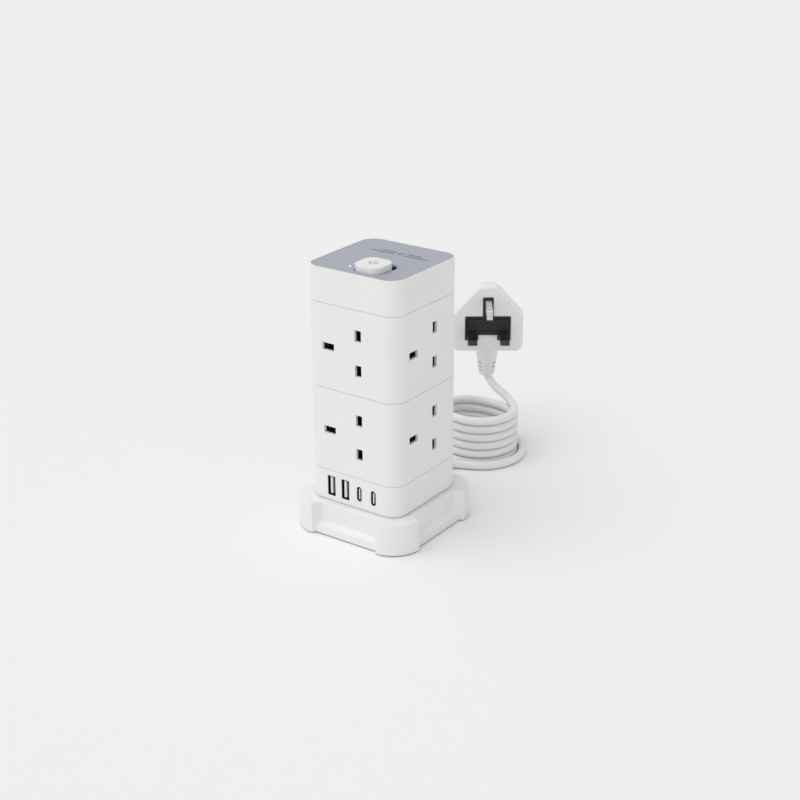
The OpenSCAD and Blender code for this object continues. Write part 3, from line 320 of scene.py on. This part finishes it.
# Soft white PVC, extruded or moulded: a dull skin with a faint orange peel
white_pvc = make_finish(
    "white PVC", "#EEEEED", "#E8E8E7",
    rough=(0.45, 0.55), grain=0.9 * MM, deep=0.012 * MM,
)

# Moulded rubber of the feet: dark and dull
foot_rubber = make_finish(
    "moulded rubber", "#2C2C2D", "#222223",
    rough=(0.75, 0.85), grain=0.6 * MM, deep=0.02 * MM,
)

# Bright nickel plate over rolled brass: a pale, warm shine
nickel_plate = make_finish(
    "nickel plate", "#D9D8D5", "#CBCAC6",
    rough=(0.2, 0.3), grain=0.3 * MM, deep=0.001 * MM, metallic=1.0,
)

# Black nickel plate of the line pins: dark and half bright
black_nickel = make_finish(
    "black nickel plate", "#4A4A4B", "#3E3E40",
    rough=(0.3, 0.4), grain=0.3 * MM, deep=0.001 * MM, metallic=1.0,
)

# Blued steel sheet of the ports: nearly black, with a soft shine
blued_steel = make_finish(
    "blued steel", "#2E2F33", "#26272A",
    rough=(0.32, 0.42), grain=0.4 * MM, deep=0.001 * MM, metallic=1.0,
)

# Tinned steel of the fuse: pale and bright
tinned_steel = make_finish(
    "tinned steel", "#C9CACC", "#BBBCBF",
    rough=(0.24, 0.34), grain=0.4 * MM, deep=0.001 * MM, metallic=1.0,
)

# Zinc-plated steel of screws and springs: a cool, half-bright grey
zinc_steel = make_finish(
    "zinc-plated steel", "#C4C6C8", "#B2B4B6",
    rough=(0.3, 0.42), grain=0.3 * MM, deep=0.002 * MM, metallic=1.0,
)

# Rolled brass strip of the contacts: a warm yellow shine
rolled_brass = make_finish(
    "rolled brass", "#C9AE6C", "#B89A55",
    rough=(0.28, 0.38), grain=0.5 * MM, deep=0.001 * MM, metallic=1.0,
)

# White nylon of the ports' tongues and the lamp's body, moulded: a smooth, milky white
white_nylon = make_finish(
    "white nylon", "#ECECEA", "#E2E2E0",
    rough=(0.4, 0.5), grain=0.3 * MM, deep=0.003 * MM,
)

# Green solder lacquer over a glass-fibre board: glossy
board_lacquer = make_finish(
    "board lacquer", "#23683F", "#1A5332",
    rough=(0.25, 0.35), grain=0.8 * MM, deep=0.004 * MM,
)

# Milky polystyrene of the lamp's light pipe, polished: it glows a little
milky_lens = make_finish(
    "milky polystyrene", "#F6F8FA", "#F0F3F6",
    rough=(0.15, 0.2), grain=0.5 * MM, deep=0.001 * MM,
    sockets={"Emission Color": (1, 1, 1, 1), "Emission Strength": 0.4},
)

# Epoxy dip of the varistors, and the capacitors' sleeves: a glossy, uneven blue
blue_epoxy = make_finish(
    "blue epoxy", "#2F55A6", "#274893",
    rough=(0.2, 0.3), grain=1.0 * MM, deep=0.01 * MM,
)

# Polyester tape wound round the transformer: a glossy yellow
yellow_tape = make_finish(
    "polyester tape", "#DDB63F", "#D0A834",
    rough=(0.25, 0.35), grain=1.0 * MM, deep=0.004 * MM,
)

# PVC sleeves of the supply wires, extruded: a soft brown
brown_sleeve = make_finish(
    "brown PVC", "#6F4C30", "#5E3F27",
    rough=(0.35, 0.45), grain=0.5 * MM, deep=0.004 * MM,
)

# Printed ink: a flat dark grey
grey_ink = make_finish(
    "grey ink", "#3E4048", "#383A42",
    rough=(0.45, 0.5), grain=0.3 * MM, deep=0.001 * MM,
)


# Tools for pieces

def new_piece(name, bm, material, body):
    """Object made of the bmesh, shaded smooth and riding with a body."""
    mesh = bpy.data.meshes.new(name)
    bm.to_mesh(mesh)
    bm.free()
    mesh.materials.append(material)
    for face in mesh.polygons:
        face.use_smooth = True
        face.material_index = 0
    piece = bpy.data.objects.new(name, mesh)
    bpy.context.scene.collection.objects.link(piece)
    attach(piece, body)
    return piece


def body_of(node):
    """Name of the moving body that a node belongs to."""
    return frame["nodes"][node]["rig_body"]


def corners(node):
    """Lowest and highest corner of a node."""
    low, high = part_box(node)
    return Vector(low), Vector(high)


def merged_copy(node):
    """Mesh of a CAD node with its loose triangles merged into flat faces."""
    bm = bmesh.new()
    bm.from_mesh(frame["nodes"][node].data)
    bmesh.ops.remove_doubles(bm, verts=bm.verts, dist=SAME_POINT)
    bmesh.ops.dissolve_limit(bm, angle_limit=FLAT_ANGLE, verts=bm.verts, edges=bm.edges)
    return bm


def sharp(edge):
    """Whether the two faces at an edge meet at a sharp angle."""
    return len(edge.link_faces) == 2 and edge.calc_face_angle(0) > SHARP_ANGLE


def round_edges(bm, on_place, radius, segments):
    """Rounds the sharp edges whose two points are both on a place."""
    edges = [
        edge for edge in bm.edges
        if sharp(edge) and all(on_place(vert.co) for vert in edge.verts)
    ]
    bmesh.ops.bevel(
        bm, geom=edges, offset=radius, segments=segments, profile=0.5,
        affect="EDGES", clamp_overlap=True, material=-1,
    )


def dress(node, material, fine=EDGE_BREAK, rounds=(), moved=Vector((0, 0, 0))):
    """Piece that stands for a CAD node, with its main edges rounded and the rest just broken.

    Each round is a test for the place of its points, a radius and a number of segments.
    """
    bm = merged_copy(node)
    bmesh.ops.translate(bm, vec=moved, verts=bm.verts)
    for on_place, radius, segments in rounds:
        round_edges(bm, on_place, radius, segments)
    piece = new_piece(node + "_look", bm, material, body_of(node))
    if fine:
        edges = piece.modifiers.new("broken edges", "BEVEL")
        edges.limit_method = "ANGLE"
        edges.angle_limit = SHARP_ANGLE
        edges.width = fine
        edges.segments = 2
        edges.harden_normals = True
    even = piece.modifiers.new("even shading", "WEIGHTED_NORMAL")
    even.weight = LARGE_FACE_WEIGHT
    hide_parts(node)
    return piece


# Tower

def on_top(node):
    """Test for points on the top of a node."""
    top = corners(node)[1].z
    return lambda point: abs(point.z - top) <= AT_TOP


def on_wall(node, foot=0):
    """Test for points on the tower's outer wall within a node's height, above its foot."""
    low, high = corners(node)
    straight = TOWER_HALF - TOWER_CORNER

    def test(point):
        across = [max(abs(part) - straight, 0) for part in point.xy]
        outer = math.hypot(*across) > TOWER_CORNER - AT_WALL
        return outer and low.z + foot - AT_WALL <= point.z <= high.z + AT_WALL

    return test


def dress_tiers():
    """Shells of the USB tier and the outlet tiers, rounded at their seams and openings.

    The foot of the USB tier, which is the tower's, stays crisp.
    """
    for tier, foot in (("usb_tier", CRISP_FOOT), ("lower_outlet", 0), ("upper_outlet", 0)):
        shell = tier + "_shell"
        dress(shell, white_housing, rounds=[(on_wall(shell, foot), WALL_ROUNDING, 3)])


def dress_cap():
    """Cap with a rounded top edge and seam, and painted shade inside the button's well: the white
    cap's faces there take the black finish.
    """
    cap = dress("top_cap_shell", white_housing, rounds=[
        (on_top("top_cap_shell"), CAP_ROUNDING, 3),
        (on_wall("top_cap_shell"), WALL_ROUNDING, 3),
    ])
    low, high = corners("power_button")
    near = low - WELL_SHADE_NEAR
    far = high + WELL_SHADE_FAR
    # Painted shade: the white cap's faces in the button's deep well are drawn in the black finish,
    # where shade falls
    cap.data.materials.append(black_nylon_and_well_shade)
    for face in cap.data.polygons:
        x, y, z = face.center
        if near.x < x < far.x and near.y < y < far.y and z > high.z - WELL_SHADE_DEEP:
            face.material_index = 1


def dress_button():
    """Power button with a softly rounded top."""
    dress("power_button", white_housing, rounds=[(on_top("power_button"), BUTTON_ROUNDING, 5)])


def dress_shutters():
    """Eight black shutters behind the slots, each with its folded spring."""
    for tier in TIERS:
        for side in SLIDES:
            dress(f"{tier}_{side}_shutter", black_acetal)
            dress(f"{tier}_{side}_spring", zinc_steel, fine=0)


# Base

def on_rim():
    """Test for points on the rim of the base's top, outside the tower."""
    height = corners("usb_tier_shell")[0].z - PLINTH_H

    def test(point):
        outside = max(abs(point.x), abs(point.y)) > TOWER_HALF + PAST_TOWER
        return outside and abs(point.z - height) < AT_RIM

    return test


def dress_base():
    """Base shell with a rounded rim round its top."""
    dress("base_shell", white_housing, BASE_BREAK, rounds=[(on_rim(), RIM_ROUNDING, 5)])


# Plug, ports and the pieces that need no more than their finish

def dress_plug_body():
    """Plug body with softly broken edges."""
    dress("plug_body", white_housing, PLUG_BREAK)


def dress_usb_c_tongues():
    """Tongues of the USB-C sockets."""
    dress("usb_c_tongues", white_nylon, moved=TONGUES_MOVED)


PLAIN_LOOKS = {
    "base_plate": white_housing,
    "rubber_feet": foot_rubber,
    "small_screws": zinc_steel,
    "tie_screws": zinc_steel,
    "top_panel": grey_panel,
    "switch_body": black_nylon_and_well_shade,
    "indicator_lens": milky_lens,
    "indicator_led": white_nylon,
    "top_board": board_lacquer,
    "surge_varistors": blue_epoxy,
    "lower_socket_core": black_nylon_and_well_shade,
    "upper_socket_core": black_nylon_and_well_shade,
    "live_busbar": rolled_brass,
    "neutral_busbar": rolled_brass,
    "earth_busbar": rolled_brass,
    "terminal_block": black_nylon_and_well_shade,
    "usb_board": board_lacquer,
    "usb_a_shells": blued_steel,
    "usb_a_tongues": white_nylon,
    "usb_c_shells": blued_steel,
    "usb_transformer": yellow_tape,
    "usb_capacitors": blue_epoxy,
    "cord_clamp": white_housing,
    "cord_gland": white_pvc,
    "plug_insert": black_nylon_and_well_shade,
    "live_neutral_pins": black_nickel,
    "earth_pin": nickel_plate,
    "fuse_carrier": black_nylon_and_well_shade,
    "plug_fuse": tinned_steel,
    "plug_relief": white_pvc,
}


def dress_plain_pieces():
    """Pieces with just a finish and broken edges, and round wires with only a finish."""
    for node, material in PLAIN_LOOKS.items():
        dress(node, material)
    dress("button_spring", zinc_steel, fine=0)
    dress("supply_wires", brown_sleeve, fine=0)


# Springs

def squeeze(node):
    """Gives a spring's look a mesh of its own."""
    piece = bpy.data.objects[node + "_look"]
    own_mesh(piece)


def squeeze_springs():
    """Gives the button's coil spring and the shutters' folded springs meshes of their own."""
    squeeze("button_spring")
    for tier in TIERS:
        for side, towards in SLIDES.items():
            name = f"{tier}_{side}"
            squeeze(name + "_spring")


# Lead

def outwards(angle):
    """Direction from the coil's middle to the lead, at an angle round the coil."""
    return Vector((math.cos(math.radians(angle)), math.sin(math.radians(angle)), 0))


def along(angle):
    """Direction in which the wound lead runs, at an angle round the coil."""
    return Vector((-math.sin(math.radians(angle)), math.cos(math.radians(angle)), 0))


def eased(part):
    """Share of a change that starts and ends softly."""
    return (1 - math.cos(math.pi * min(max(part, 0), 1))) / 2


def wound(angle, centre):
    """Point of the wound lead: a wide loop, a turn inside it, then each turn steps up."""
    radius = LOOP_R + (COIL_R - LOOP_R) * eased((angle - MOVE_START) / MOVE_IN)
    turn = math.floor((angle - STEP_START) / FULL_TURN)
    step = eased((angle - STEP_START - turn * FULL_TURN) / STEP_IN)
    climb = TURN_PITCH * (turn - 1 + step) if turn >= 1 else 0
    return centre + radius * outwards(angle) + Vector((0, 0, climb))


def lead_points():
    """Middle line of the whole lead from the gland to the plug.

    The lead runs straight for one thickness into the loop and out of the coil.
    """
    lead = [GLAND_TIP + Vector(point) * MM for point in LEAD_ROUTE]
    centre = lead[-1] + CORD_D * along(LOOP_START) - LOOP_R * outwards(LOOP_START)
    steps = round((COIL_END - LOOP_START) / COIL_STEP)
    coil = [
        wound(LOOP_START + (COIL_END - LOOP_START) * i / steps, centre)
        for i in range(steps + 1)
    ]
    start = coil[-1] + CORD_D * along(COIL_END)
    tail = [start + Vector(point) * MM for point in TAIL_ROUTE]
    return lead + coil + tail


def round_curve(name, points, radius):
    """Smooth curve through the points, with a round section."""
    data = bpy.data.curves.new(name, "CURVE")
    data.dimensions = "3D"
    data.bevel_depth = radius
    data.bevel_resolution = 8
    data.resolution_u = 6
    data.use_fill_caps = True
    line = data.splines.new("BEZIER")
    line.bezier_points.add(len(points) - 1)
    for knot, point in zip(line.bezier_points, points):
        knot.co = point
        knot.handle_left_type = "AUTO"
        knot.handle_right_type = "AUTO"
    made = bpy.data.objects.new(name, data)
    bpy.context.scene.collection.objects.link(made)
    return made


def make_lead():
    """The free lead, one unbroken cord, with the gland and the plug on it."""
    points = lead_points()
    lead = round_curve("mains_lead", points, CORD_D / 2)
    lead.data.materials.append(white_pvc)
    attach(lead, "housing")
    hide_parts("cord_lead", "cord_coil", "cord_tail")


# Prints

def flat_ring(bm, centre, radius, start=0, end=FULL_TURN):
    """Flat ring, or a part of one, swept round its centre."""
    first = Matrix.Rotation(math.radians(start), 3, "Z")
    inner = bm.verts.new(centre + first @ Vector((radius - INK_LINE / 2, 0, 0)))
    outer = bm.verts.new(centre + first @ Vector((radius + INK_LINE / 2, 0, 0)))
    edge = bm.edges.new((inner, outer))
    bmesh.ops.spin(
        bm, geom=[inner, outer, edge], cent=centre, axis=(0, 0, 1),
        angle=math.radians(end - start), steps=RING_STEPS, use_merge=end - start >= FULL_TURN,
    )


def flat_bar(bm, centre, along_x, along_y):
    """Flat bar of the given sizes."""
    place = Matrix.Translation(centre) @ Matrix.Diagonal((along_x, along_y, 1, 1))
    bmesh.ops.create_grid(bm, x_segments=1, y_segments=1, size=0.5, matrix=place)


def print_ink(name, bm, body):
    """Skin of ink on a surface, with every face turned up."""
    bmesh.ops.recalc_face_normals(bm, faces=bm.faces)
    for face in bm.faces:
        if face.normal.z < 0:
            face.normal_flip()
    new_piece(name, bm, grey_ink, body)


def print_button_symbol():
    """Broken ring with a bar, as on any power button."""
    low, high = corners("power_button")
    centre = (low + high) / 2
    centre.z = high.z + INK_LIFT
    bm = bmesh.new()
    flat_ring(bm, centre, SYMBOL_R, SYMBOL_START, SYMBOL_END)
    flat_bar(bm, centre + Vector((0, SYMBOL_BAR_UP, 0)), INK_LINE, SYMBOL_BAR)
    print_ink("button_symbol", bm, "button")


def print_panel_rules():
    """Plain rules and a small ring printed on the top panel."""
    middle = Vector((RULES_RIGHT, RULES_BACK, corners("top_panel")[1].z + INK_LIFT))
    bm = bmesh.new()
    flat_ring(bm, middle, RULES_RING_R)
    for row, length in ((-1, FRONT_RULE), (1, BACK_RULE)):
        for side in (-1, 1):
            aside = Vector((side * (RULES_GAP + length / 2), row * RULES_APART / 2, 0))
            flat_bar(bm, middle + aside, length, RULE_WIDTH)
    print_ink("panel_rules", bm, "housing")


# Floor, light and background

def make_floor():
    """Pale floor that keeps the shadow."""
    bm = bmesh.new()
    bmesh.ops.create_circle(bm, cap_ends=True, radius=FLOOR_RADIUS, segments=FLOOR_SIDES)
    mesh = bpy.data.meshes.new("floor")
    bm.to_mesh(mesh)
    bm.free()
    material = new_material("pale floor")
    tree = material.node_tree
    shader = add(tree, "ShaderNodeBsdfDiffuse", {"Color": linear(FLOOR_COLOUR)})
    out = add(tree, "ShaderNodeOutputMaterial")
    tree.links.new(shader.outputs["BSDF"], out.inputs["Surface"])
    mesh.materials.append(material)
    floor = bpy.data.objects.new("floor", mesh)
    bpy.context.scene.collection.objects.link(floor)
    floor.location.z = -FLOOR_DROP


def make_sky():
    """White sky, brighter towards the front. Camera, gloss and glass see a pale backdrop."""
    world = bpy.data.worlds.new("studio")
    bpy.context.scene.world = world
    world.use_nodes = True
    tree = world.node_tree
    tree.nodes.clear()
    way = add(tree, "ShaderNodeTexCoord").outputs["Generated"]
    front = add(tree, "ShaderNodeVectorMath", {0: way, 1: SKY_FRONT}, operation="DOT_PRODUCT")
    level = add(tree, "ShaderNodeMapRange", {
        "Value": front.outputs["Value"], "From Min": -1.0, "From Max": 1.0,
        "To Min": SKY_BACK_LEVEL, "To Max": SKY_FRONT_LEVEL,
    })
    sky = add(tree, "ShaderNodeBackground", {
        "Color": (1, 1, 1, 1), "Strength": level.outputs["Result"],
    })
    backdrop = add(tree, "ShaderNodeBackground", {
        "Color": linear(BACKDROP_COLOUR), "Strength": 1.0,
    })
    rays = add(tree, "ShaderNodeLightPath")
    seen = rays.outputs["Is Camera Ray"]
    for kind in ("Is Glossy Ray", "Is Transmission Ray"):
        joined = add(tree, "ShaderNodeMath", {0: seen, 1: rays.outputs[kind]}, operation="MAXIMUM")
        seen = joined.outputs[0]
    mixed = add(tree, "ShaderNodeMixShader", {
        0: seen, 1: sky.outputs[0], 2: backdrop.outputs[0],
    })
    out = add(tree, "ShaderNodeOutputWorld")
    tree.links.new(mixed.outputs[0], out.inputs["Surface"])


def make_key_lamp():
    """One wide lamp, high at the front left."""
    lamp = bpy.data.lights.new("key", "SUN")
    lamp.energy = KEY_ENERGY
    lamp.angle = KEY_ANGLE
    key = bpy.data.objects.new("key", lamp)
    bpy.context.scene.collection.objects.link(key)
    key.rotation_euler = KEY_FROM.to_track_quat("Z", "Y").to_euler()


bpy.context.scene.view_settings.view_transform = "Standard"
place_camera()
dress_tiers()
dress_cap()
dress_button()
dress_shutters()
dress_base()
dress_plug_body()
dress_usb_c_tongues()
dress_plain_pieces()
squeeze_springs()
make_lead()
print_button_symbol()
print_panel_rules()
make_floor()
make_sky()
make_key_lamp()
